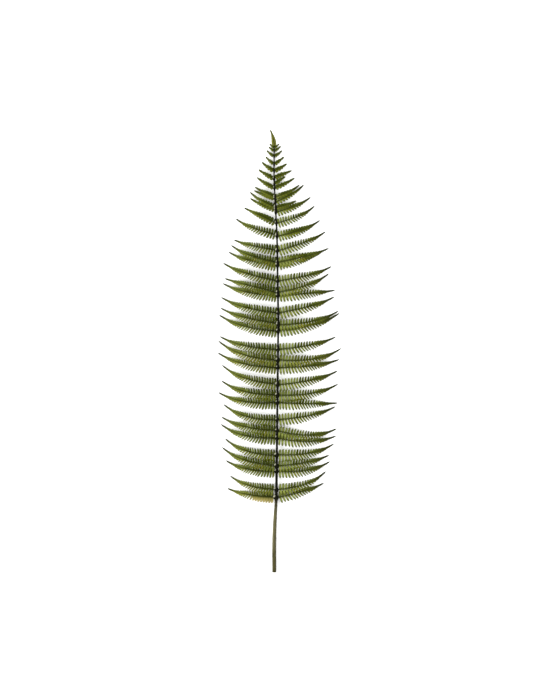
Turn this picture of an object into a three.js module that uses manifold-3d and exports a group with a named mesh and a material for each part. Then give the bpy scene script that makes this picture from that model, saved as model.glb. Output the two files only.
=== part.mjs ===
// A bracken frond, cut and laid down on its drooping side leaves.
// A bare stipe runs on as the dark rachis, and the rachis carries the pinnae: long side leaves in
// opposite pairs, each cut almost to its rib into narrow leaflets and drawn out into a plain tail.
// Millimetres. +Y runs from the cut end to the tip, +X to the right, +Z up from the surface.
import * as THREE from "three";
import { mergeVertices } from "three/addons/utils/BufferGeometryUtils.js";
import Module from "manifold-3d";

const wasm = await Module();
wasm.setup();

const FROND_LENGTH = 902;
const STIPE_LENGTH = 134;
const RACHIS_END = 880;
const COLOUR_GAP = 0.3;
const STEM_SIDES = 8;
const STEM_RING_STEP = 34;
const STEM_ARCH = 14;

const BLADE_THICKNESS = 0.9;
const LEAFLET_UPPER = 11.8;
const LEAFLET_LOWER = 13.8;
const RIB_HALF_WIDTH = 1.3;
const UPPER_LEAN = 0.2;
const LOWER_LEAN = 0.5;
const LEAN_START = 0.1;
const LEAN_FULL = 0.38;
const LEAFLET_PITCH = 9.6;
const COMB_END = 0.76;
const COMB_FULLNESS = 2.4;
const COMB_TAPER = 1.7;
const UNCUT_REACH = 34;
const FULLY_CUT_REACH = 62;
const UNCUT_SHARE = 0.7;
const ROOT_CLEARANCE = 0.5;
const LONGEST_ROOT = 0.2;
const TAIL_MIDDLE = 0.92;
const TAIL_SHOULDER = 0.85;
const TAIL_END = 1.25;
const TAIL_SLOPE = 6;
const TAIL_SHARE = 0.4;
const TIP_HALF_WIDTH = 0.5;
const BLADE_TILT = 0.34;
const TILT_JITTER = 0.06;
const PINNA_LIFT = 5;
const LIFT_JITTER = 0.16;
const DROOP_POWER = 2.2;
const TAIL_SINK = 1.2;
const JITTER_SEED = 7;

// Where the stem's middle line wanders sideways, as [height above the cut end, x].
const STEM_LINE = [
  [0, -10.7], [62, -11], [108, -9.3], [148, -6.5], [269, -5.1], [514, -2.4], [687, -5.1],
  [800, -11.2], [866, -10.8], [880, -11], [889, -12.4], [896, -15], [902, -18.6],
];

// How thick the stem is, as [height above the cut end, radius].
const STEM_RADIUS = [
  [0, 4], [60, 4], [106, 3.6], [137, 3.1], [190, 2.6], [250, 2.3], [450, 2.1], [680, 1.8],
  [760, 1.5], [840, 1.2], [880, 0.8],
];

// How far out the pinnae droop to the surface, as [height above the cut end, distance].
const DROOP_SPAN = [
  [0, 105], [150, 105], [270, 122], [430, 128], [520, 125], [600, 114], [690, 94],
  [740, 74], [800, 42], [850, 17], [870, 9],
];

// How wide a pinna is for its reach, as [reach, share of the full width].
const PINNA_SIZE = [
  [0, 0.12], [15, 0.35], [25, 0.48], [36, 0.52], [46, 0.5], [60, 0.57], [78, 0.82], [90, 0.9],
  [116, 1],
];

// Each pinna as [height of its base, reach out from the stem, rise of its tip, bow of its rib,
// share of the blade left between leaflets that hang together].
const LEFT_PINNAE = [
  [154, 100, 17], [169, 95, 28], [206, 104, 22, 0], [218, 112, 37], [239, 106, 34, 2],
  [274, 115, 28, -2], [289, 114, 28], [311, 110, 32, 0], [346, 121, 21, -4], [362, 115, 29, 0],
  [384, 114, 39], [417, 123, 31, 3], [432, 122, 40], [454, 119, 27], [491, 121, 34, 6],
  [507, 118, 32], [528, 117, 33, 9], [563, 113, 26, 5], [569, 109, 30, 19], [593, 112, 38, 15],
  [625, 100, 28, 8], [631, 95, 36, 12], [656, 89, 22], [687, 84, 34, 13], [711, 66, 32, 22, 0.6],
  [738, 52, 24, 13, 0.5], [744, 52, 31, 14, 0.5], [761, 43, 17, 11], [765, 41, 20, 12],
  [782, 36, 23, 14], [801, 32, 20, 13], [817, 25, 19, 12], [831, 17, 16, 10],
  [847, 15, 13, 8], [858, 11, 9, 6], [865, 9, 9, 5],
];
const RIGHT_PINNAE = [
  [152, 97, 30, 14], [169, 101, 37, 5], [206, 109, 20, -4], [217, 107, 22], [240, 117, 22, -3],
  [274, 121, 4, -15], [289, 122, 4, -20], [311, 119, 27], [346, 124, -1, -4], [361, 124, 23, -2],
  [382, 123, 29], [417, 126, 17, 1], [433, 130, 24, -7], [454, 118, 26], [492, 126, 37, 8],
  [504, 123, 29, 2], [528, 115, 34, 13], [563, 117, 12], [570, 104, 39, 12], [593, 110, 31, 10],
  [626, 86, 23], [631, 105, 30, 13], [654, 99, 41, 18], [684, 88, 34, 12, 0.5], [711, 78, 36, 12],
  [733, 71, 32, 13, 0.5], [742, 48, 18, 8, 0.6], [753, 58, 37, 18, 0.5], [764, 50, 26, 11, 0.6],
  [782, 41, 22, 13], [790, 22, 16, 13], [803, 36, 16, 12], [817, 26, 16, 10], [831, 20, 16, 10],
  [847, 16, 13, 8], [858, 13, 11, 6], [865, 10, 9, 5],
];

// The bow of a rib where none is given, as [height above the cut end, share of its rise].
const LEFT_BOW = [[0, 0.14], [460, 0.14], [520, 0.36], [902, 0.4]];
const RIGHT_BOW = [[0, 0.2], [460, 0.26], [520, 0.46], [902, 0.5]];
const BEND_SHARE = 0.6;
const HOOK_SHARE = 0.35;

const lobe = { foot: 866, tip: FROND_LENGTH, halfWidth: 4.3, spread: [0.55, 0.95, 0.92, 0.69, 0.38, 0.1] };

const leafGreen = new THREE.MeshStandardMaterial({ color: 0x66702f, roughness: 0.62, metalness: 0 });
const stemTan = new THREE.MeshStandardMaterial({ color: 0x746f50, roughness: 0.6, metalness: 0 });

function along(table, height) {
  const last = table.length - 1;
  if (height >= table[last][0]) return table[last][1];
  const i = table.findIndex((row, n) => n < last && height < table[n + 1][0]);
  const [h0, v0] = table[i];
  const [h1, v1] = table[i + 1];
  return v0 + ((v1 - v0) * (height - h0)) / (h1 - h0);
}

function stemCentre(height) {
  const lift = STEM_ARCH * Math.sin((Math.PI * height) / FROND_LENGTH);
  return new THREE.Vector3(
    along(STEM_LINE, height),
    height - FROND_LENGTH / 2,
    along(STEM_RADIUS, height) + lift,
  );
}

// A stretch of stem: a tapering round turned on the Y axis, then moved onto the stem's middle line.
function stemStretch(from, to) {
  const rings = Math.max(3, Math.round((to - from) / STEM_RING_STEP));
  const profile = [new THREE.Vector2(0, from)];
  for (let i = 0; i <= rings; i += 1) {
    const height = from + ((to - from) * i) / rings;
    profile.push(new THREE.Vector2(along(STEM_RADIUS, height), height));
  }
  profile.push(new THREE.Vector2(0, to));
  const stem = new THREE.LatheGeometry(profile, STEM_SIDES);
  const at = stem.attributes.position;
  for (let i = 0; i < at.count; i += 1) {
    const centre = stemCentre(at.getY(i));
    at.setXYZ(i, centre.x + at.getX(i), centre.y, centre.z + at.getZ(i));
  }
  return stem;
}

// Two copies of a sheet, one above the other and split alike, joined by a wall round the edge.
function thicken(sheet, thickness) {
  const at = sheet.attributes.position;
  const n = at.count;
  const points = new Float32Array(n * 6);
  for (let i = 0; i < n; i += 1) {
    points.set([at.getX(i), at.getY(i), at.getZ(i) + thickness / 2], i * 3);
    points.set([at.getX(i), at.getY(i), at.getZ(i) - thickness / 2], (n + i) * 3);
  }
  const faces = [];
  const open = new Map();
  const top = sheet.index.array;
  for (let i = 0; i < top.length; i += 3) {
    const [a, b, c] = [top[i], top[i + 1], top[i + 2]];
    faces.push(a, b, c, n + a, n + c, n + b);
    for (const [p, q] of [[a, b], [b, c], [c, a]]) {
      if (!open.delete(`${q} ${p}`)) open.set(`${p} ${q}`, [p, q]);
    }
  }
  for (const [p, q] of open.values()) faces.push(p, n + p, n + q, p, n + q, q);
  const solid = new THREE.BufferGeometry();
  solid.setAttribute("position", new THREE.BufferAttribute(points, 3));
  solid.setIndex(faces);
  return solid;
}

function seededRandom(seed) {
  let state = seed;
  return () => {
    state = (state * 16807) % 2147483647;
    return state / 2147483647;
  };
}

// How far the blade stands out from the rib, narrowing from its widest to a thin tail.
function bladeWidth(t, widest) {
  const comb = widest * Math.pow(1 - Math.pow(t, COMB_FULLNESS), COMB_TAPER);
  const tail = Math.min(TAIL_SHARE * widest, TAIL_END + TAIL_SLOPE * (1 - t));
  return Math.max(comb, tail);
}

// The stations along a pinna's rib, as [place on the rib, share of the blade's width, lean].
// Leaflets next to the stem stand square to the rib and lean outwards further on.
// A web is the share of the blade that is not cut between them.
function stations(rootSpan, leaflets, web) {
  const list = [[0, 0, 0], [rootSpan, 0, 0]];
  const pitch = (COMB_END - rootSpan) / leaflets;
  for (let i = 0; i < leaflets; i += 1) {
    const t = rootSpan + pitch * (i + 0.5);
    const turn = THREE.MathUtils.smoothstep(t, 0, LEAN_FULL);
    list.push([t, 1, LEAN_START + (1 - LEAN_START) * turn]);
    const last = i === leaflets - 1;
    list.push([rootSpan + pitch * (i + 1), last ? TAIL_SHOULDER : web, 0]);
  }
  list.push([TAIL_MIDDLE, 1, 0], [1, 0, 0]);
  return list;
}

// One pinna: a flat sheet drawn out along its rib, toothed, drooped and tilted, then given thickness.
function pinna(side, [height, reach, rise, givenBow, givenWeb = 0], random) {
  const foot = stemCentre(height);
  const size = along(PINNA_SIZE, reach);
  const bow = givenBow ?? rise * along(side < 0 ? LEFT_BOW : RIGHT_BOW, height);
  const hook = HOOK_SHARE * rise;
  const leaflets = Math.max(2, Math.round((reach * COMB_END) / LEAFLET_PITCH));
  const rootReach = along(STEM_RADIUS, height) + ROOT_CLEARANCE;
  const rootSpan = Math.min(LONGEST_ROOT, rootReach / (reach * 2 * BEND_SHARE));
  const uncut = 1 - THREE.MathUtils.smoothstep(reach, UNCUT_REACH, FULLY_CUT_REACH);
  const list = stations(rootSpan, leaflets, Math.max(givenWeb, UNCUT_SHARE * uncut));
  const tilt = BLADE_TILT + TILT_JITTER * (random() - 0.5);
  const lift = PINNA_LIFT * size * (1 + LIFT_JITTER * (random() - 0.5));
  const span = along(DROOP_SPAN, height);
  const sheet = new THREE.PlaneGeometry(1, 1, list.length - 1, 1);
  const at = sheet.attributes.position;
  for (let i = 0; i < at.count; i += 1) {
    const [t, share, lean] = list[i % list.length];
    const upper = i < list.length;
    const back = 1 - t;
    const out = 2 * t * back * BEND_SHARE * reach + t * t * reach;
    const up = 2 * t * back * bow + t * t * (rise - hook * back);
    const outward = 2 * (back - t) * BEND_SHARE * reach + 2 * t * reach;
    const upward = 2 * (back - t) * bow + 2 * t * (rise - hook) + 3 * t * t * hook;
    const pace = Math.hypot(outward, upward);
    const full = bladeWidth(t, (upper ? LEAFLET_UPPER : LEAFLET_LOWER) * size);
    const notch = Math.max(TIP_HALF_WIDTH, RIB_HALF_WIDTH * size * back);
    const half = Math.max(notch, full * share);
    const across = upper ? half : -half;
    const forward = (upper ? UPPER_LEAN : LOWER_LEAN) * lean * half;
    const s = out / span;
    const droop = foot.z * (1 - Math.pow(s, DROOP_POWER)) - TAIL_SINK * s * s;
    const rib = droop + lift * 4 * s * (1 - s);
    at.setXYZ(
      i,
      foot.x + side * (out + (outward * forward - upward * across) / pace),
      foot.y + up + (upward * forward + outward * across) / pace,
      Math.max(BLADE_THICKNESS / 2, rib - tilt * across),
    );
  }
  if (side < 0) sheet.index.array.reverse();
  return thicken(sheet, BLADE_THICKNESS);
}

// The narrow leaf at the very tip, following the stem's middle line.
function tipLobe() {
  const count = lobe.spread.length;
  const sheet = new THREE.PlaneGeometry(1, 1, count - 1, 1);
  const at = sheet.attributes.position;
  for (let i = 0; i < at.count; i += 1) {
    const n = i % count;
    const centre = stemCentre(lobe.foot + ((lobe.tip - lobe.foot) * n) / (count - 1));
    const across = lobe.halfWidth * lobe.spread[n] * (i < count ? -1 : 1);
    at.setXYZ(i, centre.x + across, centre.y, Math.max(BLADE_THICKNESS / 2, centre.z));
  }
  return thicken(sheet, BLADE_THICKNESS);
}

function toManifold(geometry) {
  geometry.deleteAttribute("normal");
  geometry.deleteAttribute("uv");
  const welded = mergeVertices(geometry, 1e-4);
  return new wasm.Manifold(new wasm.Mesh({
    numProp: 3,
    vertProperties: new Float32Array(welded.attributes.position.array),
    triVerts: new Uint32Array(welded.index.array),
  }));
}

function toMesh(name, solid, material) {
  const { vertProperties, triVerts } = solid.getMesh();
  const geometry = new THREE.BufferGeometry();
  geometry.setAttribute("position", new THREE.BufferAttribute(new Float32Array(vertProperties), 3));
  geometry.setIndex(new THREE.BufferAttribute(new Uint32Array(triVerts), 1));
  geometry.computeVertexNormals();
  const mesh = new THREE.Mesh(geometry, material);
  mesh.name = name;
  return mesh;
}

const random = seededRandom(JITTER_SEED);
let blade = toManifold(stemStretch(STIPE_LENGTH + COLOUR_GAP, RACHIS_END)).add(toManifold(tipLobe()));
for (const row of LEFT_PINNAE) blade = blade.add(toManifold(pinna(-1, row, random)));
for (const row of RIGHT_PINNAE) blade = blade.add(toManifold(pinna(1, row, random)));

const frond = new THREE.Group();
frond.name = "bracken_frond";
frond.add(toMesh("stipe", toManifold(stemStretch(0, STIPE_LENGTH)), stemTan));
frond.add(toMesh("blade", blade, leafGreen));

// The origin lies on the surface, under the middle of the whole frond.
const box = new THREE.Box3().setFromObject(frond);
const middle = box.getCenter(new THREE.Vector3());
for (const mesh of frond.children) mesh.geometry.translate(-middle.x, -middle.y, -box.min.z);

export default frond;
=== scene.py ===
import math
import random

import bmesh
import bpy
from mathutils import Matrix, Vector


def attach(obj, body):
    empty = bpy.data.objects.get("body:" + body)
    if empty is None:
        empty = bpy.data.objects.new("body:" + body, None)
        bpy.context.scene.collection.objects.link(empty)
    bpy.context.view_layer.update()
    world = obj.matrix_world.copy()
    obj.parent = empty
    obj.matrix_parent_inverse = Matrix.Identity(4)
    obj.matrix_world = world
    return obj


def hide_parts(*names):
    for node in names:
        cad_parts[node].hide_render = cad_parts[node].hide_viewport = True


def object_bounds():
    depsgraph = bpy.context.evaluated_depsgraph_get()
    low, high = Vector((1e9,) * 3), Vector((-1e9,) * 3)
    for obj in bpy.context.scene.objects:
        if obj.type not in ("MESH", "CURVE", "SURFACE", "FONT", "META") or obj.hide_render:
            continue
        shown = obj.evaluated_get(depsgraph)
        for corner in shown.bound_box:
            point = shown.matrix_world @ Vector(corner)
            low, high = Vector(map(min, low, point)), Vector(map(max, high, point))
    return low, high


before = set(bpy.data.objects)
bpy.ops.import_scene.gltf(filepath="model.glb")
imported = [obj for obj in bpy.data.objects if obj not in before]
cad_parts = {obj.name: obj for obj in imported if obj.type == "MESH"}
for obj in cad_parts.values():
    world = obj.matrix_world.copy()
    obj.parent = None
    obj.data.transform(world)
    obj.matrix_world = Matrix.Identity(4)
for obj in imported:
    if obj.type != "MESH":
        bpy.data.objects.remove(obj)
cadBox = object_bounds()
print("frame:", sorted(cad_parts))

mm = 0.001
creaseAngle = 50  # edges sharper than this stay sharp
draw = random.Random(11)

# The frond lies face up along +Y, with its cut end at the bottom of the picture.
# Places are in millimetres, and heights are counted from the cut end.
# Where a table has two lists, -1 is left of the stem and 1 is right of it.
frond = {
    "length": round((cadBox[1][1] - cadBox[0][1]) / mm),
    "arch": 14,  # how far the rachis stands off the floor in the middle
    "stemLine": [  # height, sideways place of the stem's middle line
        (0, -10.7), (62, -11.0), (108, -9.3), (148, -6.5), (269, -5.1), (514, -2.4), (687, -5.1),
        (800, -11.2), (866, -10.8), (880, -11.0), (889, -12.4), (896, -15.0), (902, -18.6), (916, -27.0),
    ],
    "lineEasing": 14,  # stretch of stem over which corners of the line are rounded
    "stemRadius": [
        (0, 4.0), (60, 4.0), (106, 3.6), (137, 3.1), (190, 2.6), (250, 2.3), (450, 2.1), (680, 1.8),
        (760, 1.5), (840, 1.2), (880, 0.8),
    ],
    "radiusEasing": 8,
    "droopSpan": [  # height, distance out where a pinna has drooped to the floor
        (0, 105), (150, 105), (270, 122), (430, 128), (520, 125), (600, 114), (690, 94),
        (740, 74), (800, 42), (850, 17), (870, 9),
    ],
    "yellowing": {  # height, how far the pinnae have turned yellow
        -1: [(0, 0.95), (152, 0.95), (190, 0.4), (370, 0.5), (425, 0.9), (460, 0.4), (520, 0.65), (570, 0.3)],
        1: [(0, 0.5), (152, 0.5), (230, 0.3), (400, 0.4), (440, 0.7), (480, 0.3), (580, 0.6), (640, 0.3)],
    },
}

# Each pinna: height of its foot, reach out from the stem, rise of its tip, and where needed bow of its rib.
pinnaeLeft = [
    (154, 100, 17), (169, 95, 28), (206, 104, 22, 0), (218, 112, 37), (239, 106, 34, 2),
    (274, 115, 28, -2), (289, 114, 28), (311, 110, 32, 0), (346, 121, 21, -4), (362, 115, 29, 0),
    (384, 114, 39), (417, 123, 31, 3), (432, 122, 40), (454, 119, 27), (491, 121, 34, 6),
    (507, 118, 32), (528, 117, 33, 9), (563, 113, 26, 5), (569, 109, 30, 19), (593, 112, 38, 15),
    (625, 100, 28, 8), (631, 95, 36, 12), (656, 89, 22), (687, 84, 34, 13), (711, 66, 32, 22),
    (738, 52, 24, 13), (744, 52, 31, 14), (761, 43, 17, 11), (765, 41, 20, 12),
    (782, 36, 23, 14), (801, 32, 20, 13), (817, 25, 19, 12), (831, 17, 16, 10),
    (847, 15, 13, 8), (858, 11, 9, 6), (865, 9, 9, 5),
]
pinnaeRight = [
    (152, 97, 30, 14), (169, 101, 37, 5), (206, 109, 20, -4), (217, 107, 22), (240, 117, 22, -3),
    (274, 121, 4, -15), (289, 122, 4, -20), (311, 119, 27), (346, 124, -1, -4), (361, 124, 23, -2),
    (382, 123, 29), (417, 126, 17, 1), (433, 130, 24, -7), (454, 118, 26), (492, 126, 37, 8),
    (504, 123, 29, 2), (528, 115, 34, 13), (563, 117, 12), (570, 104, 39, 12), (593, 110, 31, 10),
    (626, 86, 23), (631, 105, 30, 13), (654, 99, 41, 18), (684, 88, 34, 12), (711, 78, 36, 12),
    (733, 71, 32, 13), (742, 42, 15, 8), (753, 58, 37, 18), (764, 50, 26, 11),
    (782, 41, 22, 13), (790, 22, 16, 13), (803, 36, 16, 12), (817, 26, 16, 10), (831, 20, 16, 10),
    (847, 16, 13, 8), (858, 13, 11, 6), (865, 10, 9, 5),
]


def along(table, place):
    # value of a table at one place, in straight lines between its rows
    for (p0, v0), (p1, v1) in zip(table, table[1:]):
        if place < p1:
            return v0 + (v1 - v0) * (place - p0) / (p1 - p0)
    return table[-1][1]


def blend(first, second, share):
    return first + (second - first) * share


def smoothStep(low, high, value):
    x = min(1.0, max(0.0, (value - low) / (high - low)))
    return x * x * (3 - 2 * x)


def hill(distance, width):
    return math.exp(-(distance / width) ** 2)


def eased(table, height, reach):
    steps = (-1, -0.5, 0, 0.5, 1)  # a short running mean takes the corners off the table
    return sum(along(table, max(0, height + reach * s)) for s in steps) / len(steps)


def jitter(amount):
    return amount * (draw.random() - 0.5)


def stemCentre(height):
    lift = frond["arch"] * math.sin(math.pi * height / frond["length"])
    return Vector((
        eased(frond["stemLine"], height, frond["lineEasing"]),
        height - frond["length"] / 2,
        along(frond["stemRadius"], height) + lift,
    ))


def addPiece(name, bm, materials, node):
    for face in bm.faces:
        face.smooth = True
    mesh = bpy.data.meshes.new(name)
    bm.to_mesh(mesh)
    bm.free()
    mesh.set_sharp_from_angle(angle=math.radians(creaseAngle))
    piece = bpy.data.objects.new(name, mesh)
    bpy.context.scene.collection.objects.link(piece)
    for material in materials:
        mesh.materials.append(material)
    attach(piece, "root")
    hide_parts(node)
    print(name, len(mesh.polygons), "faces")


def rodMesh(name, sides, rings):
    # an upright round bar of unit radius and length, cut into rings
    bm = bmesh.new()
    bmesh.ops.create_cone(bm, cap_ends=True, segments=sides, radius1=1, radius2=1, depth=1)
    upright = [e for e in bm.edges if e.verts[0].co.z * e.verts[1].co.z < 0]  # from one end to the other
    bmesh.ops.subdivide_edges(bm, edges=upright, cuts=rings - 1)
    mesh = bpy.data.meshes.new(name)
    bm.to_mesh(mesh)
    bm.free()
    return mesh


def addRod(bm, mesh):
    start = len(bm.verts)
    bm.from_mesh(mesh)
    bm.verts.ensure_lookup_table()
    return bm.verts[start:]


def facesOf(verts):
    return list({f for v in verts for f in v.link_faces})


# Node helpers shared by all the materials.
def addNode(tree, kind, **values):
    node = tree.nodes.new(kind)
    for name, value in values.items():
        if name in node.bl_rna.properties:
            setattr(node, name, value)
        else:
            node.inputs[name].default_value = value
    return node


def link(tree, source, target):
    tree.links.new(source, target)


def setOrLink(tree, socket, value):
    if isinstance(value, (int, float)):
        socket.default_value = value
    elif isinstance(value, tuple):
        socket.default_value = (*value, 1)  # a colour
    else:
        link(tree, value, socket)


def number(tree, operation, first, second=0.0):
    node = addNode(tree, "ShaderNodeMath", operation=operation)
    setOrLink(tree, node.inputs[0], first)
    setOrLink(tree, node.inputs[1], second)
    return node.outputs[0]


def ramp(tree, value, low, high, start=0.0, end=1.0):
    node = addNode(tree, "ShaderNodeMapRange", interpolation_type="SMOOTHSTEP")
    node.inputs["From Min"].default_value = low
    node.inputs["From Max"].default_value = high
    node.inputs["To Min"].default_value = start
    node.inputs["To Max"].default_value = end
    link(tree, value, node.inputs["Value"])
    return node.outputs["Result"]


def mixColour(tree, share, first, second, blendType="MIX"):
    node = addNode(tree, "ShaderNodeMix", data_type="RGBA", blend_type=blendType)
    setOrLink(tree, node.inputs[0], share)
    setOrLink(tree, node.inputs[6], first)  # 6, 7 and output 2 are the colours of a Mix node
    setOrLink(tree, node.inputs[7], second)
    return node.outputs[2]


def attribute(tree, name):
    return addNode(tree, "ShaderNodeAttribute", attribute_name=name).outputs["Fac"]


def objectPlace(tree):
    return addNode(tree, "ShaderNodeTexCoord").outputs["Object"]


def newMaterial(name):
    material = bpy.data.materials.new(name)
    material.use_nodes = True
    tree = material.node_tree
    return material, tree, tree.nodes["Principled BSDF"]


mottle = {
    "patchDetail": 3.0,
    "patchRoughness": 0.6,
    "grainScale": 1400.0,
    "grainDetail": 2.0,
    "grainShare": 0.5,  # how much the fine grain adds to the patches
    "middle": 0.5,  # mean of a noise
    "range": (0.3, 0.7),  # most of a noise lies between these
}


def mottleGroup():
    # patchy darker and lighter tissue over fine grain
    tree = bpy.data.node_groups.new("tissueMottle", "ShaderNodeTree")
    sockets = (
        ("Colour", "INPUT", "NodeSocketColor"),
        ("Patch size", "INPUT", "NodeSocketFloat"),
        ("Amount", "INPUT", "NodeSocketFloat"),
        ("Colour", "OUTPUT", "NodeSocketColor"),
        ("Grain", "OUTPUT", "NodeSocketFloat"),
    )
    for name, way, kind in sockets:
        tree.interface.new_socket(name, in_out=way, socket_type=kind)
    given = tree.nodes.new("NodeGroupInput")
    result = tree.nodes.new("NodeGroupOutput")
    place = objectPlace(tree)
    frequency = number(tree, "DIVIDE", 1.0, given.outputs["Patch size"])
    patches = addNode(tree, "ShaderNodeTexNoise", Detail=mottle["patchDetail"])
    patches.inputs["Roughness"].default_value = mottle["patchRoughness"]
    link(tree, place, patches.inputs["Vector"])
    link(tree, frequency, patches.inputs["Scale"])
    grain = addNode(tree, "ShaderNodeTexNoise", Scale=mottle["grainScale"], Detail=mottle["grainDetail"])
    link(tree, place, grain.inputs["Vector"])
    swing = number(tree, "SUBTRACT", patches.outputs["Fac"], mottle["middle"])
    fine = number(tree, "SUBTRACT", grain.outputs["Fac"], mottle["middle"])
    fine = number(tree, "MULTIPLY", fine, mottle["grainShare"])
    both = number(tree, "MULTIPLY", number(tree, "ADD", swing, fine), given.outputs["Amount"])
    gain = number(tree, "ADD", both, 1.0)
    grey = addNode(tree, "ShaderNodeCombineColor")
    for socket in grey.inputs[:3]:
        link(tree, gain, socket)
    toned = mixColour(tree, 1.0, given.outputs["Colour"], grey.outputs["Color"], "MULTIPLY")
    link(tree, toned, result.inputs["Colour"])
    link(tree, grain.outputs["Fac"], result.inputs["Grain"])
    return tree


tissueMottle = mottleGroup()


def mottled(tree, colour, patchSize, amount):
    node = addNode(tree, "ShaderNodeGroup")
    node.node_tree = tissueMottle
    node.inputs["Patch size"].default_value = patchSize
    node.inputs["Amount"].default_value = amount
    setOrLink(tree, node.inputs["Colour"], colour)
    return node.outputs["Colour"], node.outputs["Grain"]


def bumpTo(tree, shader, height, depth, strength):
    bump = addNode(tree, "ShaderNodeBump", Distance=depth, Strength=strength)
    link(tree, height, bump.inputs["Height"])
    link(tree, bump.outputs["Normal"], shader.inputs["Normal"])


def finishSkin(tree, shader, look, colour, grain):
    link(tree, colour, shader.inputs["Base Color"])
    link(tree, ramp(tree, grain, *mottle["range"], *look["roughness"]), shader.inputs["Roughness"])
    shader.inputs["Specular IOR Level"].default_value = look["specular"]


leafTop = {
    "name": "leaf_face",
    "upper": (0.045, 0.057, 0.0045),  # the half of a pinna towards the tip, darkened as painted shade
    "lower": (0.118, 0.132, 0.0155),  # the half towards the stalk is lighter: painted light
    # pale and deep also carry the painted light and painted shade of tissue's table
    "paleAndLit": (0.190, 0.222, 0.057),
    "olive": (0.215, 0.197, 0.033),
    "deepAndShade": (0.018, 0.026, 0.0014),
    "withered": (0.270, 0.225, 0.080),
    "tail": (0.021, 0.024, 0.005),
    # dark colour of the veins and rib, also used as painted shade along leaflet edges and beside the rib
    "rib": (0.009, 0.012, 0.0006),
    "roughness": (0.55, 0.72),
    "specular": 0.02,
}
leafUnder = {
    "name": "leaf_back",
    "upper": (0.140, 0.158, 0.050),
    "lower": (0.150, 0.168, 0.056),
    "paleAndLit": (0.250, 0.265, 0.110),
    "olive": (0.170, 0.160, 0.045),
    "deepAndShade": (0.105, 0.124, 0.036),
    "withered": (0.300, 0.220, 0.080),
    "tail": (0.050, 0.054, 0.016),
    "rib": (0.070, 0.072, 0.020),
    "roughness": (0.66, 0.82),
    "specular": 0.10,
}
leafPattern = {  # widths are shares of the leaflet or of half the pinna
    "halves": (-0.15, 0.15),  # the two halves run into each other at the rib
    "midVein": (0.0, 0.12, 0.35, 0.0),  # from, to, darkness at each
    "veinCount": 42.0,
    "sideVein": (0.75, 1.0, 0.0, 0.22),
    # painted shade along the edges of each leaflet
    "edgeShade": (0.3, 0.5, 0.0, 0.6),
    # a dark band beside the rib: the rib's own darker tissue, widened by painted shade where the pinnae
    # overlap
    "ribShade": (0.05, 0.36, 0.75, 0.0),
    "patches": (0.014, 0.7),  # size in metres, strength
    "grainHeight": 0.4,
    "bump": (0.0002, 0.5),  # depth in metres, strength
}


def leafMaterial(look):
    material, tree, shader = newMaterial(look["name"])
    across = attribute(tree, "across")
    # the lower half gets painted light and the upper half painted shade
    side = ramp(tree, across, *leafPattern["halves"])
    colour = mixColour(tree, side, look["lower"], look["upper"])
    # the pale and deep layers hold painted light and painted shade besides the leaf's own tones
    for tone in ("olive", "paleAndLit", "deepAndShade", "withered"):
        colour = mixColour(tree, attribute(tree, tone), colour, look[tone])
    veinSide = attribute(tree, "veinSide")
    midVein = ramp(tree, veinSide, *leafPattern["midVein"])
    wave = number(tree, "SUBTRACT", attribute(tree, "veinPlace"), veinSide)
    wave = number(tree, "SINE", number(tree, "MULTIPLY", wave, leafPattern["veinCount"]))
    veins = number(tree, "MAXIMUM", midVein, ramp(tree, wave, *leafPattern["sideVein"]))
    # veins are real; painted shade is added here along the leaflet edges
    dark = number(tree, "MAXIMUM", veins, ramp(tree, veinSide, *leafPattern["edgeShade"]))
    colour = mixColour(tree, dark, colour, look["rib"])
    colour = mixColour(tree, attribute(tree, "tail"), colour, look["tail"])
    # dark band beside the rib: darker rib tissue and painted shade where pinnae overlap
    nearRib = ramp(tree, number(tree, "ABSOLUTE", across), *leafPattern["ribShade"])
    colour = mixColour(tree, nearRib, colour, look["rib"])
    colour, grain = mottled(tree, colour, *leafPattern["patches"])
    finishSkin(tree, shader, look, colour, grain)
    relief = number(tree, "SUBTRACT", number(tree, "MULTIPLY", grain, leafPattern["grainHeight"]), veins)
    bumpTo(tree, shader, relief, *leafPattern["bump"])
    return material


ribLook = {
    "foot": (0.004, 0.004, 0.0015),
    "outer": (0.016, 0.020, 0.002),
    "end": (0.048, 0.058, 0.010),
    "footStretch": (0.0, 0.2),  # places along the rib between which the colours change
    "endStretch": (0.5, 0.75),
    "patches": (0.006, 0.6),
    "roughness": (0.5, 0.65),
    "specular": 0.04,
    "bump": (0.0001, 0.4),
}


def ribMaterial():
    material, tree, shader = newMaterial("pinna_rib")
    place = attribute(tree, "along")
    colour = mixColour(tree, ramp(tree, place, *ribLook["footStretch"]), ribLook["foot"], ribLook["outer"])
    colour = mixColour(tree, ramp(tree, place, *ribLook["endStretch"]), colour, ribLook["end"])
    colour, grain = mottled(tree, colour, *ribLook["patches"])
    finishSkin(tree, shader, ribLook, colour, grain)
    bumpTo(tree, shader, grain, *ribLook["bump"])
    return material


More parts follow.
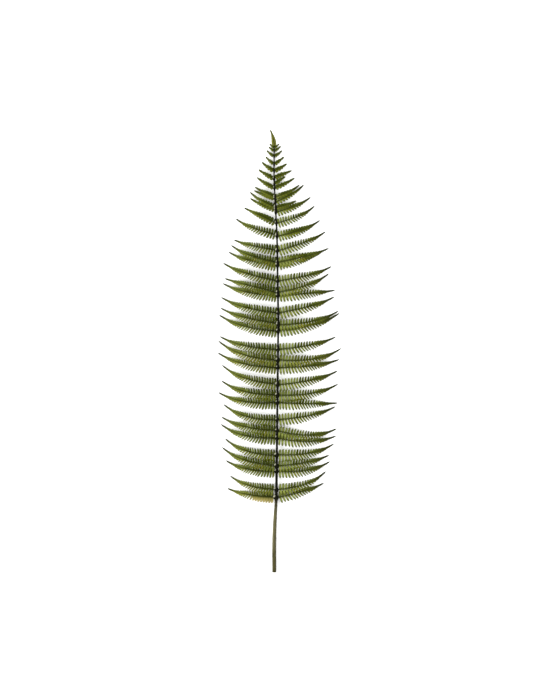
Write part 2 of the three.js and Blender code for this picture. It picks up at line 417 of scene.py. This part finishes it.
stemLook = {
    "tan": (0.084, 0.077, 0.036),
    "paintedLitFlank": (0.150, 0.138, 0.072),  # painted light: the left flank, facing the key light, is painted paler
    "paintedLitRange": (-1.0, -0.1),
    "low": (0.044, 0.039, 0.011),  # the stalk is browner towards its foot
    "lowHeights": (70, 20),
    "lowMost": 0.8,
    # dark streaks, scars and the darkened cut end, and the painted shade on the right flank
    "darkMarksAndShade": (0.020, 0.018, 0.005),
    "streaks": (900, 30, 900),  # they run along the stalk
    "streakDetail": 4.0,
    "streakRoughness": 0.65,
    "streakDarkness": (0.42, 0.7, 0.0, 0.8),
    "bruiseHeights": (7, 1),  # the cut end has darkened
    "bruiseMost": 0.8,
    # painted shade: the right flank, turned from the key light, is painted darker
    "paintedShadeRange": (0.3, 0.95, 0.0, 0.7),
    "dark": (0.0024, 0.0026, 0.0008),
    "darkHeights": (112, 156),  # heights between which the tan stalk turns dark
    "young": (0.012, 0.014, 0.003),  # the thin end among the topmost leaves
    "youngHeights": (800, 868),
    "gland": (0.30, 0.30, 0.22),
    "glandEdge": (0.2, 0.7),
    "patches": (0.02, 0.5),
    "roughness": (0.45, 0.62),
    "specular": 0.04,
    "bump": (0.0003, 0.5),
}


def stemMaterial():
    material, tree, shader = newMaterial("stalk_skin")
    place = objectPlace(tree)
    apart = addNode(tree, "ShaderNodeSeparateXYZ")
    link(tree, place, apart.inputs["Vector"])
    stretch = addNode(tree, "ShaderNodeMapping", Scale=stemLook["streaks"])
    link(tree, place, stretch.inputs["Vector"])
    noise = addNode(tree, "ShaderNodeTexNoise", Scale=1.0)
    noise.inputs["Detail"].default_value = stemLook["streakDetail"]
    noise.inputs["Roughness"].default_value = stemLook["streakRoughness"]
    link(tree, stretch.outputs["Vector"], noise.inputs["Vector"])
    streaks = noise.outputs["Fac"]

    def between(heights, most=1.0):
        low, high = ((h - frond["length"] / 2) * mm for h in heights)
        return ramp(tree, apart.outputs["Y"], low, high, 0.0, most)

    flank = attribute(tree, "flank")
    # the left flank is painted paler: painted light
    colour = mixColour(tree, ramp(tree, flank, *stemLook["paintedLitRange"]), stemLook["paintedLitFlank"], stemLook["tan"])
    colour = mixColour(tree, between(stemLook["lowHeights"], stemLook["lowMost"]), colour, stemLook["low"])
    marksAndShade = ramp(tree, streaks, *stemLook["streakDarkness"])
    marksAndShade = number(tree, "MAXIMUM", marksAndShade, between(stemLook["bruiseHeights"], stemLook["bruiseMost"]))
    marksAndShade = number(tree, "MAXIMUM", marksAndShade, attribute(tree, "scar"))
    # the right flank is painted darker: painted shade
    marksAndShade = number(tree, "MAXIMUM", marksAndShade, ramp(tree, flank, *stemLook["paintedShadeRange"]))
    colour = mixColour(tree, marksAndShade, colour, stemLook["darkMarksAndShade"])
    colour = mixColour(tree, between(stemLook["darkHeights"]), colour, stemLook["dark"])
    colour = mixColour(tree, between(stemLook["youngHeights"]), colour, stemLook["young"])
    glands = ramp(tree, attribute(tree, "gland"), *stemLook["glandEdge"])
    colour = mixColour(tree, glands, colour, stemLook["gland"])
    colour = mottled(tree, colour, *stemLook["patches"])[0]
    finishSkin(tree, shader, stemLook, colour, streaks)
    bumpTo(tree, shader, streaks, *stemLook["bump"])
    return material


pithLook = {
    "pith": (0.34, 0.30, 0.16),
    "bundle": (0.16, 0.13, 0.06),  # dark ends of the strands in the stalk
    "bundleScale": 900.0,
    "bundleEdge": (0.15, 0.4),
    "patches": (0.003, 0.6),
    "roughness": 0.8,
    "bump": (0.0002, 0.5),
}


def pithMaterial():
    material, tree, shader = newMaterial("cut_end")
    bundles = addNode(tree, "ShaderNodeTexVoronoi", Scale=pithLook["bundleScale"])
    link(tree, objectPlace(tree), bundles.inputs["Vector"])
    dots = ramp(tree, bundles.outputs["Distance"], *pithLook["bundleEdge"])
    colour = mixColour(tree, dots, pithLook["bundle"], pithLook["pith"])
    colour = mottled(tree, colour, *pithLook["patches"])[0]
    link(tree, colour, shader.inputs["Base Color"])
    shader.inputs["Roughness"].default_value = pithLook["roughness"]
    bumpTo(tree, shader, dots, *pithLook["bump"])
    return material


stem = {
    "end": 884,
    "sides": 16,
    "rings": 440,
    "groove": 0.16,  # depth of the furrow along the top, as a share of the radius
    "grooveWidth": 0.42,  # widths around the stem are in radians
    "grooveStart": (20, 160),
    "swelling": 0.85,  # how much the stem swells where a pair of pinnae leaves it
    "swellingLength": 3.2,
    "scars": [(35, 2.4), (70, 0.7), (109, 0.6)],  # height and turn of old scale scars on the bare stalk
    "scarHeight": 0.2,
    "scarLength": 4.0,
    "scarWidth": 0.55,
    "glandAbove": 3,  # a pale gland on the left, just above each foot
    "glandTurn": 2.55,
    "glandLength": 1.7,
    "glandWidth": 0.55,
    "glandHeight": 0.5,
    "glandFade": (790, 840),
}


def stemMarks(feet, height, turn):
    # how strongly the swelling, furrow, scars and glands show at one point of the stem
    swell = min(1, sum(hill(height - foot, stem["swellingLength"]) for foot in feet))
    furrow = hill(turn - math.pi / 2, stem["grooveWidth"]) * smoothStep(*stem["grooveStart"], height)
    scar = 0.0
    for place, facing in stem["scars"]:
        scar = max(scar, hill(height - place, stem["scarLength"]) * hill(turn - facing, stem["scarWidth"]))
    gland = max(hill(height - foot - stem["glandAbove"], stem["glandLength"]) for foot in feet)
    gland *= hill(turn - stem["glandTurn"], stem["glandWidth"])
    gland *= 1 - smoothStep(*stem["glandFade"], height)
    return swell, furrow, scar, gland


def buildStem():
    bm = bmesh.new()
    layers = {name: bm.verts.layers.float.new(name) for name in ("scar", "gland", "flank")}
    feet = sorted({row[0] for row in pinnaeLeft + pinnaeRight})
    bar = rodMesh("stem_bar", stem["sides"], stem["rings"])
    for v in addRod(bm, bar):
        height = (v.co.z + 0.5) * stem["end"]
        turn = math.atan2(v.co.y, v.co.x)
        swell, furrow, scar, gland = stemMarks(feet, height, turn)
        centre = stemCentre(height)
        radius = eased(frond["stemRadius"], height, frond["radiusEasing"])
        radius *= 1 + stem["swelling"] * swell - stem["groove"] * furrow + stem["scarHeight"] * scar
        radius *= 1 + stem["glandHeight"] * gland
        radius = min(radius, centre.z)
        v.co = (centre + Vector((math.cos(turn) * radius, 0, math.sin(turn) * radius))) * mm
        v[layers["scar"]] = scar
        v[layers["gland"]] = gland
        v[layers["flank"]] = math.cos(turn)
    bpy.data.meshes.remove(bar)
    for face in bm.faces:  # the cap at the cut end shows pith
        face.material_index = 1 if len(face.verts) > 4 and face.calc_center_median().y < 0 else 0
    bmesh.ops.recalc_face_normals(bm, faces=bm.faces)
    addPiece("stem", bm, [stemMaterial(), pithMaterial()], "stipe")


# Pairs of numbers for the two halves of a pinna stand as lower, upper. The lower half faces the stalk.
pinna = {
    "halfWidths": (13.8, 11.8),  # of a full-size pinna
    "fullReach": 116,
    "size": [  # reach, share of the full width
        (0, 0.12), (15, 0.35), (25, 0.48), (36, 0.52), (46, 0.50), (60, 0.57), (78, 0.82),
        (90, 0.90), (116, 1.0), (140, 1.0),
    ],
    "fullness": 2.4,
    "smallFullness": 1.9,  # the smallest pinnae taper from a broad foot
    "taper": 1.7,
    "smallTaper": 1.4,
    "smallFoot": (0.35, 6),  # how much narrower a small pinna's foot is, and how soon it widens
    "smallFlatness": 0.7,
    "bowShare": {  # height, bow of a rib as a share of its rise
        -1: [(0, 0.14), (460, 0.14), (520, 0.36), (902, 0.40)],
        1: [(0, 0.20), (460, 0.26), (520, 0.46), (902, 0.50)],
    },
    "bendShare": 0.6,
    "hook": 0.35,  # share of the rise that comes at the very tip
    "hookPower": 3,
    "tilt": 0.34,
    "tiltJitter": 0.06,
    "lift": 5,
    "liftJitter": 0.16,
    "droopPower": 2.2,
    "tailSink": 1.2,
    "fold": 0.10,  # both halves hang a little from the rib
    "curl": 0.11,
    "thickness": 0.45,
    "tailColumns": 12,
    "tailEnd": 1.25,  # half-width of the tail near its end, and how fast it grows inwards
    "tailSlope": 6.0,
    "tailMost": 0.4,  # share of the half-width that the tail may have
    "point": 0.04,  # share of the rib over which the tail runs to a point
    "pointWidth": 0.2,
}
leaflet = {
    "pitch": {-1: 5.2, 1: 5.7},
    "leastPitch": 5.0,
    "fewest": 4,
    "rootGap": [(0, 2.6), (170, 2.6), (215, 0.9), (300, 0.3)],  # height, bare rib next to the stem
    "pitchPower": 0.3,
    "spread": 0.1,  # evens out the rib's own spacing
    "share": {-1: (0.80, 0.88), 1: (0.70, 0.79)},  # how much of the pitch a leaflet takes up
    "mostShare": 0.96,
    "thinning": 0.22,  # leaflets grow slimmer towards the end of the comb
    "thinningStretch": (0.15, 0.6),
    "combEnd": {-1: (0.76, 0.67), 1: (0.77, 0.70)},
    "combEndJitter": 0.06,
    "fading": 0.25,  # stretch of rib over which the cuts grow shallow
    "cutReach": (34, 62),  # pinnae shorter than the first are hardly cut, longer than the second fully
    "leastCut": 0.25,
    "joined": {  # height of pinnae whose leaflets hang together, depth of the cuts
        -1: {711: (0.3, 0.2), 738: (0.5, 0.45), 744: (0.5, 0.5), 761: (0.2, 0.2), 765: (0.2, 0.2)},
        1: {
            631: (1.0, 0.3), 684: (0.5, 0.4), 733: (0.6, 0.4),
            742: (0.4, 0.3), 753: (0.5, 0.4), 764: (0.3, 0.3),
        },
    },
    "joinedStretch": (0.03, 0.25),
    "lean": (0.50, 0.20),  # leaflets point outwards
    "leanStart": 0.1,  # next to the stem they stand nearly square to the rib
    "leanFull": 0.38,
    "leanUncut": 0.35,
    "leanJitter": 0.12,
    "lengthJitter": 0.12,
    "sweep": 0.10,
    "wing": 0.9,  # narrow strip of blade left along the rib
    "mostWing": 0.9,  # share of the half-width that the strip may have
    "closed": 0.86,  # how far the strip reaches where the blade is not cut
    "crown": 0.28,
    "crease": 0.16,
    "ruffle": 0.45,
    "blunt": 0.28,
    "columns": 4,
    "rows": (0.0, 0.0, 0.22, 0.48, 0.76, 1.0),  # rib, edge of the strip, then out along a leaflet
    "widths": (1.2, 1.25, 1.06, 1.0, 0.9, 0.55),
}
witheredStrip = {  # brown lower leaflets that stick together
    "side": -1,
    "height": 154,
    "stretch": (0.38, 0.48),
    "web": 0.75,
    "brownFrom": (0.15, 0.5),
}
tissue = {  # how the leaf colour shifts
    "toneJitter": 0.3,
    "yellowest": 0.65,
    "yellowFrom": (0.35, 1.0),
    "golden": 0.55,  # a few leaflets have turned more than the rest
    "goldenBelow": (0.05, 0.22),
    "oliveUpper": 0.35,
    "oliveAcross": (-0.3, 0.5),
    "palest": 0.68,
    "paleFrom": (0.4, 1.0),
    "paleMost": 0.8,
    "plainTone": 0.3,
    "lightAndShade": {  # painted light and shade: place along the rib, painted shade below 0 and painted light above, in the lower and upper halves
        -1: (
            [(0, -0.55), (0.2, -0.5), (0.4, -0.35), (0.5, -0.2), (0.6, 0.15), (0.7, 0.5)],
            [(0, -0.55), (0.2, -0.55), (0.35, -0.35), (0.45, -0.1), (0.6, 0.45), (0.7, 0.6)],
        ),
        1: (
            [(0, 0.66), (0.15, 0.6), (0.3, 0.15), (0.4, -0.25), (0.5, -0.6), (0.6, -0.55), (0.7, -0.3)],
            [
                (0, 0.5), (0.1, 0.45), (0.2, 0.2), (0.3, -0.05), (0.4, -0.3), (0.5, -0.2),
                (0.6, 0.4), (0.7, 0.5),
            ],
        ),
    },
    "lowerDeep": {-1: 0.3, 1: 0.55},  # the ends of the lower leaflets are darker
    "deepAcross": (0.35, 0.85),
    "tail": {-1: (0.70, 1.0), 1: (0.58, 0.88)},  # stretch of rib over which the tail darkens; the earlier start on the right is painted shade
    "tailVein": 0.3,
    # the small uncut pinnae at the top are more even in colour
    "smallDeep": {-1: 0.12, 1: 0.0},
    "smallTone": 0.4,
    "smallShift": 0.2,
    "smallPale": 0.4,
    "smallTail": 0.6,
}
leafLayers = ("across", "olive", "paleAndLit", "deepAndShade", "withered", "tail", "veinPlace", "veinSide")
leafletDraws = ("tone", "twist", "ruffle", "longer", "leaning")  # random numbers of one leaflet


def ribPlace(side, row, t):
    # plan of the rib: how far out, how far up, and the direction it runs
    height, reach, rise = row[:3]
    bow = row[3] if len(row) > 3 else rise * along(pinna["bowShare"][side], height)
    bend = pinna["bendShare"] * reach
    hook = pinna["hook"] * rise
    power = pinna["hookPower"]
    back = 1 - t
    out = 2 * t * back * bend + t * t * reach
    up = 2 * t * back * bow + t * t * (rise - hook) + hook * t ** power
    outward = 2 * (back - t) * bend + 2 * t * reach
    upward = 2 * (back - t) * bow + 2 * t * (rise - hook) + hook * power * t ** (power - 1)
    return out, up, Vector((outward, upward)).normalized()


def ribHeight(leaf, out):
    s = out / leaf["span"]
    droop = leaf["foot"].z * (1 - s ** pinna["droopPower"]) - pinna["tailSink"] * s * s
    return droop + leaf["lift"] * 4 * s * (1 - s)


def leafSpot(leaf, out, up, z):
    foot = leaf["foot"]
    return Vector((foot.x + leaf["side"] * out, foot.y + up, z)) * mm


def halfWidth(leaf, t, upper):
    entire = leaf["entire"]
    full = pinna["halfWidths"][upper] * leaf["size"]
    left = max(0, 1 - t)
    thread = pinna["tailEnd"] + pinna["tailSlope"] * left
    thread *= blend(pinna["pointWidth"], 1, min(1, left / pinna["point"]))
    thread = min(thread, pinna["tailMost"] * full)
    narrowing, power = pinna["smallFoot"]
    narrowFoot = 1 - entire * narrowing * (1 - t) ** power
    fullness = blend(pinna["fullness"], pinna["smallFullness"], entire)
    taper = blend(pinna["taper"], pinna["smallTaper"], entire)
    return max(thread, full * (1 - min(1, t) ** fullness) ** taper * narrowFoot)


def startPinna(side, row):
    # what holds for one whole pinna, with its four random draws
    height, reach = row[:2]
    size = along(pinna["size"], reach)
    tilt = pinna["tilt"] + jitter(pinna["tiltJitter"])
    lift = pinna["lift"] * size * (1 + jitter(pinna["liftJitter"]))
    tone = along(frond["yellowing"][side], height) + jitter(tissue["toneJitter"])
    combShift = jitter(leaflet["combEndJitter"])
    return {
        "side": side,
        "row": row,
        "size": size,
        "foot": stemCentre(height),
        "span": along(frond["droopSpan"], height),
        "tilt": tilt,
        "lift": lift,
        "tone": tone,
        "entire": 1 - smoothStep(*leaflet["cutReach"], reach),
        "combEnd": [end + combShift for end in leaflet["combEnd"][side]],
        "joined": leaflet["joined"][side].get(height, (1.0, 1.0)),
    }


def countLeaflets(leaf):
    # places along the rib where the comb starts and ends, and how many leaflets stand between
    side = leaf["side"]
    row = leaf["row"]
    height, reach = row[:2]
    bareRib = along(frond["stemRadius"], height) + along(leaflet["rootGap"], height) * leaf["size"]
    first = bareRib / (reach * 2 * pinna["bendShare"])
    last = max(leaf["combEnd"])
    pitch = leaflet["pitch"][side] * min(1, reach / pinna["fullReach"]) ** leaflet["pitchPower"]
    comb = ribPlace(side, row, last)[0] - ribPlace(side, row, first)[0]
    return first, last, max(leaflet["fewest"], round(comb / max(leaflet["leastPitch"], pitch)))


def sheetColumns(first, last, leaflets):
    # columns of points across the rib: place on the rib, leaflet's own stretch of rib,
    # place across the leaflet and random draws for both halves
    columns = []
    comb = last - first
    even = 1 - leaflet["spread"]
    for i in range(leaflets):
        u = (i + 0.5) / leaflets
        middle = first + comb * u * (even + leaflet["spread"] * u)
        stretch = comb * (even + 2 * leaflet["spread"] * u) / leaflets
        draws = {upper: {n: draw.random() for n in leafletDraws} for upper in (True, False)}
        for k in range(leaflet["columns"] + 1):
            c = k / leaflet["columns"] - 0.5
            columns.append({"t": middle, "stretch": stretch, "c": c, "inTail": False, "draws": draws})
    plain = {n: 0.5 for n in leafletDraws}
    plain["tone"] = tissue["plainTone"]
    for k in range(pinna["tailColumns"]):
        t = last + (1 - last) * (k + 0.5) / (pinna["tailColumns"] - 0.5)
        columns.append({"t": t, "stretch": 0.0, "c": 0.0, "inTail": True, "draws": (plain, plain)})
    return columns


def withered(leaf, upper, t):
    here = (leaf["side"], leaf["row"][0])
    if upper or here != (witheredStrip["side"], witheredStrip["height"]):
        return 0.0
    return 1 - smoothStep(*witheredStrip["stretch"], t)


def cutDepth(leaf, upper, t):
    # 1 where the blade is cut to the strip along the rib, 0 where it is whole
    end = leaf["combEnd"][upper]
    depth = 1 - leaf["entire"] * (1 - leaflet["leastCut"])
    depth *= 1 - smoothStep(end - leaflet["fading"], end, t)
    depth *= 1 - witheredStrip["web"] * withered(leaf, upper, t)
    return depth * (1 - (1 - leaf["joined"][upper]) * smoothStep(*leaflet["joinedStretch"], t))


def tissueShares(leaf, t, across, tone):
    # how much of the olive, pale and painted light, deep and painted shade, and tail colours shows at one
    # point of a pinna
    side = leaf["side"]
    entire = leaf["entire"]
    t += tissue["smallShift"] * entire
    yellow = tissue["yellowest"] * smoothStep(*tissue["yellowFrom"], leaf["tone"])
    golden = tissue["golden"] * (1 - smoothStep(*tissue["goldenBelow"], tone))
    olive = max(yellow, golden) * blend(tissue["oliveUpper"], 1, smoothStep(*tissue["oliveAcross"], -across))
    # painted light above 0 joins the pale share, painted shade below 0 joins the deep share
    lightAndShade = along(tissue["lightAndShade"][side][across > 0], t)
    paleAndLit = min(tissue["paleMost"], max(0, lightAndShade) + tissue["palest"] * smoothStep(*tissue["paleFrom"], tone))
    darkening = tissue["lowerDeep"][side] * smoothStep(*tissue["deepAcross"], -across)
    paleAndLit *= (1 - darkening) * (1 - tissue["smallPale"] * entire)
    deepAndShade = max(darkening, -lightAndShade, tissue["smallDeep"][side] * entire)
    tail = smoothStep(*tissue["tail"][side], t) * (1 - tissue["smallTail"] * entire)
    return olive, paleAndLit, deepAndShade, tail


def leafColours(leaf, column, upper, t, cut, distance, full):
    # the values that the leaf's colours read, in the order of leafLayers
    across = distance / full if upper else -distance / full
    unevenness = max(cut, leaf["entire"] * tissue["smallTone"])
    tone = blend(tissue["plainTone"], column["draws"][upper]["tone"], unevenness)
    olive, paleAndLit, deepAndShade, tail = tissueShares(leaf, t, across, tone)
    brown = withered(leaf, upper, t) * smoothStep(*witheredStrip["brownFrom"], distance / full)
    veinPlace = distance / max(pinna["halfWidths"])
    veinSide = tissue["tailVein"] if column["inTail"] else abs(column["c"])
    return across, olive, paleAndLit, deepAndShade, brown, tail, veinPlace, veinSide


def leafletReach(leaf, c, f, cut, full):
    # distance from the rib at one point of a leaflet, whose end is blunt
    wing = leaflet["wing"] * leaf["size"] + (1 - cut) * leaflet["closed"] * full
    wing = min(leaflet["mostWing"] * full, wing)
    return wing + (full - wing) * max(0, f - leaflet["blunt"] * c * c * f ** 3)


def leafletLean(upper, leaning, t, f, cut):
    # how far a leaflet points outwards, as a share of its length
    lean = leaflet["lean"][upper] + leaflet["leanJitter"] * (leaning - 0.5) + leaflet["sweep"] * f
    lean *= blend(leaflet["leanStart"], 1, smoothStep(0, leaflet["leanFull"], t))
    return lean * blend(leaflet["leanUncut"], 1, cut)


def leafletRelief(drawn, c, f):
    # a crowned leaflet with a crease along its middle, a little ruffled and twisted
    rounded = leaflet["crown"] * (1 - 4 * c * c) - leaflet["crease"] * (1 - abs(2 * c)) ** 2
    ruffled = drawn["ruffle"] - 0.5 + (drawn["twist"] - 0.5) * 2 * c
    return rounded * smoothStep(0, 1, f) + ruffled * leaflet["ruffle"] * f


def leafPoint(leaf, column, rowNumber):
    # place of one point of a pinna's sheet, and its colour values
    size = leaf["size"]
    upper = rowNumber > 0
    drawn = column["draws"][upper]
    c = column["c"]
    t = column["t"]
    f = leaflet["rows"][abs(rowNumber)]
    cut = 0.0 if column["inTail"] else cutDepth(leaf, upper, t)
    full = halfWidth(leaf, t, upper) * (1 + leaflet["lengthJitter"] * (drawn["longer"] - 0.5) * cut)
    slim = 1 - leaflet["thinning"] * smoothStep(*leaflet["thinningStretch"], t) * f
    share = leaflet["share"][leaf["side"]][upper] * leaflet["widths"][abs(rowNumber)]
    t += column["stretch"] * c * slim * min(leaflet["mostShare"], share)
    distance = 0.0 if rowNumber == 0 else leafletReach(leaf, c, f, cut, full)
    across = distance if upper else -distance
    forward = 0.0 if column["inTail"] else distance * leafletLean(upper, drawn["leaning"], t, f, cut)

    out, up, ahead = ribPlace(leaf["side"], leaf["row"], max(0.0, t))
    hang = (pinna["fold"] + pinna["curl"] * f * f * size) * (1 - pinna["smallFlatness"] * leaf["entire"])
    z = ribHeight(leaf, out) - leaf["tilt"] * across - hang * distance
    z += leafletRelief(drawn, c, f) * cut * size
    out += ahead.x * forward - ahead.y * across
    up += ahead.y * forward + ahead.x * across
    place = leafSpot(leaf, out, up, max(pinna["thickness"], z))
    return place, leafColours(leaf, column, upper, t, cut, distance, full)


def openGaps(bm, faces, places, leaflets):
    # deletes the faces that span from one leaflet to the next, outside the strip along the rib
    perLeaflet = leaflet["columns"] + 1
    gaps = []
    for face in faces:
        columns, rows = zip(*(places[v] for v in face.verts))
        left = min(columns)
        between = left < leaflets * perLeaflet - 1 and left % perLeaflet == perLeaflet - 1
        if between and min(abs(r) for r in rows) >= 1:
            gaps.append(face)
    bmesh.ops.delete(bm, geom=gaps, context="FACES")


def buildPinna(bm, layers, leaf):
    first, last, leaflets = countLeaflets(leaf)
    columns = sheetColumns(first, last, leaflets)
    across = len(columns) - 1
    rowCount = len(leaflet["rows"]) - 1
    sheet = bmesh.ops.create_grid(bm, x_segments=across, y_segments=2 * rowCount, size=1)
    places = {}
    for v in sheet["verts"]:
        places[v] = (round((v.co.x + 1) / 2 * across), round((v.co.y + 1) * rowCount) - rowCount)
    faces = facesOf(sheet["verts"])
    for v, (column, rowNumber) in places.items():
        v.co, values = leafPoint(leaf, columns[column], rowNumber)
        for name, value in zip(leafLayers, values):
            v[layers[name]] = value
    if leaf["side"] < 0:  # the left pinnae are mirrored
        bmesh.ops.reverse_faces(bm, faces=faces)
    openGaps(bm, faces, places, leaflets)


rib = {
    "radius": 0.6,
    "end": 0.92,
    "thinning": 0.8,
    "flare": 0.9,  # the foot is swollen
    "flarePlace": 2,
    "flareLength": 3,
    "colourShift": {-1: 0.0, 1: 0.2},  # the left ribs are blackest at the foot
    "rings": 18,
    "sides": 6,
}


def buildRib(bm, bar, leaf):
    side = leaf["side"]
    alongLayer = bm.verts.layers.float["along"]
    rod = addRod(bm, bar)
    for v in rod:
        t = (v.co.z + 0.5) * rib["end"]
        turn = math.atan2(v.co.y, v.co.x)
        out, up, ahead = ribPlace(side, leaf["row"], t)
        flare = 1 + rib["flare"] * hill(out - rib["flarePlace"], rib["flareLength"])
        radius = rib["radius"] * leaf["size"] * (1 - rib["thinning"] * t) * flare
        across = radius * math.cos(turn)
        z = max(ribHeight(leaf, out), radius) + radius * math.sin(turn)
        v.co = leafSpot(leaf, out - ahead.y * across, up + ahead.x * across, z)
        v[alongLayer] = t + rib["colourShift"][side]
    if side < 0:  # the left ribs are mirrored
        bmesh.ops.reverse_faces(bm, faces=facesOf(rod))


underNormal = -0.3  # faces that point further down than this are under side


def finishSheet(bm, thickness):
    # the sheet is copied, and its first copy drops by the thickness and becomes the paler under side
    low = bm.verts[:]
    bmesh.ops.extrude_face_region(bm, geom=bm.faces[:], use_keep_orig=True)
    bmesh.ops.translate(bm, verts=low, vec=(0, 0, -thickness * mm))
    bmesh.ops.recalc_face_normals(bm, faces=bm.faces[:])
    for face in bm.faces:
        face.material_index = 1 if face.normal.z < underNormal else 0


def buildPinnae(name, side, rows, materials, ribs, ribBar):
    bm = bmesh.new()
    layers = {n: bm.verts.layers.float.new(n) for n in leafLayers}
    for row in rows:
        leaf = startPinna(side, row)
        buildPinna(bm, layers, leaf)
        buildRib(ribs, ribBar, leaf)
    finishSheet(bm, pinna["thickness"])
    addPiece(name, bm, materials, "blade")


tipLeaf = {
    "foot": 864,
    "footWidth": 3.2,  # half-widths
    "fullWidth": 4.8,
    "fullPlace": 0.34,
    "narrowPower": 1.5,
    "finest": 1.8,
    "pointWidth": 0.2,  # share of the finest width left at the very tip
    "pointSlope": 20,
    "columns": 18,
    "rows": 6,
    "thickness": 0.5,
    "standOff": 0.3,  # how far its middle stands above the stem's middle line
    "fold": 0.25,
    "tones": (0.6, 0.2, 0.15, 0.0),  # olive, pale and painted light, deep and painted shade, withered
    "darkTip": 0.5,
    "veinRun": 3,
}


def tipHalfWidth(t):
    full = tipLeaf["fullPlace"]
    half = blend(tipLeaf["footWidth"], tipLeaf["fullWidth"], min(1, t / full))
    narrowing = max(0, (t - full) / (1 - full)) ** tipLeaf["narrowPower"]
    finest = tipLeaf["finest"] * min(1, tipLeaf["pointWidth"] + tipLeaf["pointSlope"] * (1 - t))
    return max(finest, half * (1 - narrowing))


def buildTipLeaf(materials):
    bm = bmesh.new()
    layers = {n: bm.verts.layers.float.new(n) for n in leafLayers}
    bmesh.ops.create_grid(bm, x_segments=tipLeaf["rows"], y_segments=tipLeaf["columns"], size=1)
    for v in bm.verts:
        t = (v.co.y + 1) / 2
        share = v.co.x
        half = tipHalfWidth(t)
        centre = stemCentre(blend(tipLeaf["foot"], frond["length"], t))
        z = centre.z + tipLeaf["standOff"] - tipLeaf["fold"] * abs(share) * half
        v.co = Vector((centre.x + share * half, centre.y, max(tipLeaf["thickness"], z))) * mm
        tail = tipLeaf["darkTip"] * smoothStep(0.0, 1.0, t)
        values = (share, *tipLeaf["tones"], tail, t * tipLeaf["veinRun"], abs(share) / 2)
        for name, value in zip(leafLayers, values):
            v[layers[name]] = value
    finishSheet(bm, tipLeaf["thickness"])
    addPiece("tip_leaf", bm, materials, "blade")


buildStem()
leafMaterials = [leafMaterial(leafTop), leafMaterial(leafUnder)]
ribs = bmesh.new()
ribs.verts.layers.float.new("along")
ribBar = rodMesh("rib_bar", rib["sides"], rib["rings"])
buildPinnae("pinnae_left", -1, pinnaeLeft, leafMaterials, ribs, ribBar)
buildPinnae("pinnae_right", 1, pinnaeRight, leafMaterials, ribs, ribBar)
bpy.data.meshes.remove(ribBar)
addPiece("pinna_ribs", ribs, [ribMaterial()], "blade")
buildTipLeaf(leafMaterials)

studio = {  # in metres
    "floorSize": 8.0,
    "floorColour": (0.93, 0.93, 0.925),
    "floorPatches": (0.4, 0.02),
    "floorRoughness": 0.9,
    "world": (1.0, 1.0, 1.0),
    "worldStrength": 1.4,
    "lights": [  # name, place, size, power
        ("key_light", (-1.7, -0.5, 2.0), 1.6, 52),
        ("fill_light", (1.3, 1.0, 2.4), 2.0, 14),
    ],
}


def buildFloor():
    bm = bmesh.new()
    bmesh.ops.create_grid(bm, x_segments=1, y_segments=1, size=studio["floorSize"] / 2)
    mesh = bpy.data.meshes.new("floor")
    bm.to_mesh(mesh)
    bm.free()
    floor = bpy.data.objects.new("floor", mesh)
    bpy.context.scene.collection.objects.link(floor)
    material, tree, shader = newMaterial("floor_paper")
    colour = mottled(tree, studio["floorColour"], *studio["floorPatches"])[0]
    link(tree, colour, shader.inputs["Base Color"])
    shader.inputs["Roughness"].default_value = studio["floorRoughness"]
    mesh.materials.append(material)
    print("floor", studio["floorSize"], "m")


def buildLights():
    world = bpy.data.worlds.new("studio")
    world.use_nodes = True
    background = world.node_tree.nodes["Background"]
    background.inputs["Color"].default_value = (*studio["world"], 1)
    background.inputs["Strength"].default_value = studio["worldStrength"]
    bpy.context.scene.world = world
    for name, place, size, power in studio["lights"]:
        lamp = bpy.data.lights.new(name, "AREA")
        lamp.size = size
        lamp.energy = power
        light = bpy.data.objects.new(name, lamp)
        light.location = place
        light.rotation_euler = (-Vector(place)).to_track_quat("-Z", "Y").to_euler()
        bpy.context.scene.collection.objects.link(light)
    bpy.context.scene.view_settings.view_transform = "Standard"
    print("lights", len(studio["lights"]))


camera = {
    "distance": 4.0,
    "sensor": 24,
    "frameHeight": 1.428,  # how much of the floor the picture takes in from top to bottom
    "aim": (0.001, 0.002),
}


def buildCamera():
    lens = bpy.data.cameras.new("camera")
    lens.sensor_fit = "VERTICAL"
    lens.sensor_height = camera["sensor"]
    lens.lens = lens.sensor_height * camera["distance"] / camera["frameHeight"]
    eye = bpy.data.objects.new("camera", lens)
    eye.location = (*camera["aim"], camera["distance"])
    bpy.context.scene.collection.objects.link(eye)
    bpy.context.scene.camera = eye


buildFloor()
buildLights()
buildCamera()
